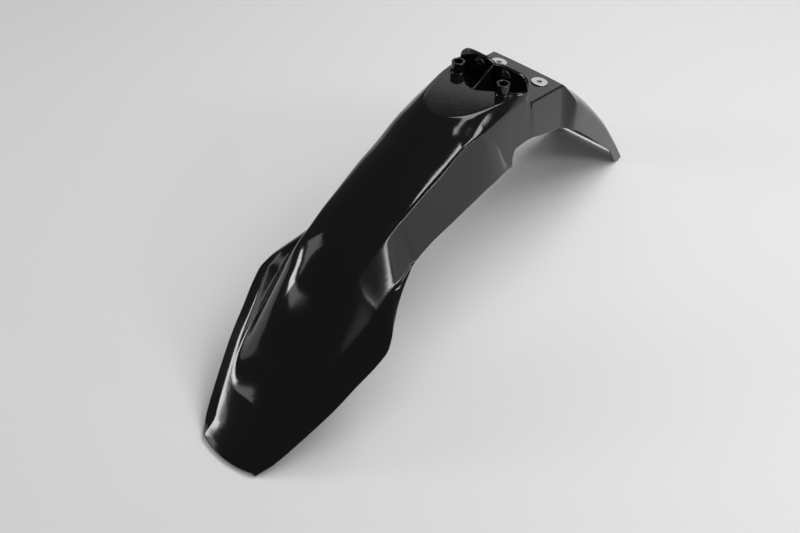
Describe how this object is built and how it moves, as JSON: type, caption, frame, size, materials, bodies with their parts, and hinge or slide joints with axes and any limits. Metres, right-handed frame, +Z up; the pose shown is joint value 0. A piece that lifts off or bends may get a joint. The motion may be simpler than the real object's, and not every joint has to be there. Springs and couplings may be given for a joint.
{
  "type": "motorcycle front mudguard",
  "caption": "Arched front mudguard with a raised hood, flared blade, plug sockets, a lobed pocket and a bolt deck with flanged collars.",
  "frame": {"origin": "on the ground under the middle of the mudguard, which lies on the corners of its front lip and on its tail", "axes": "+Y from the front lip to the tail, +X to the right side seen with the tail away, +Z up; the mudguard is alike left and right of X = 0"},
  "size_m": [0.213, 0.791, 0.3129],
  "materials": {
    "moulded_plastic": "smooth moulded gloss",
    "plated_steel": "bright zinc plating"
  },
  "bodies": {
    "root": {"mudguard_shell": "moulded_plastic", "left_collar": "plated_steel", "right_collar": "plated_steel"}
  },
  "joints": []
}
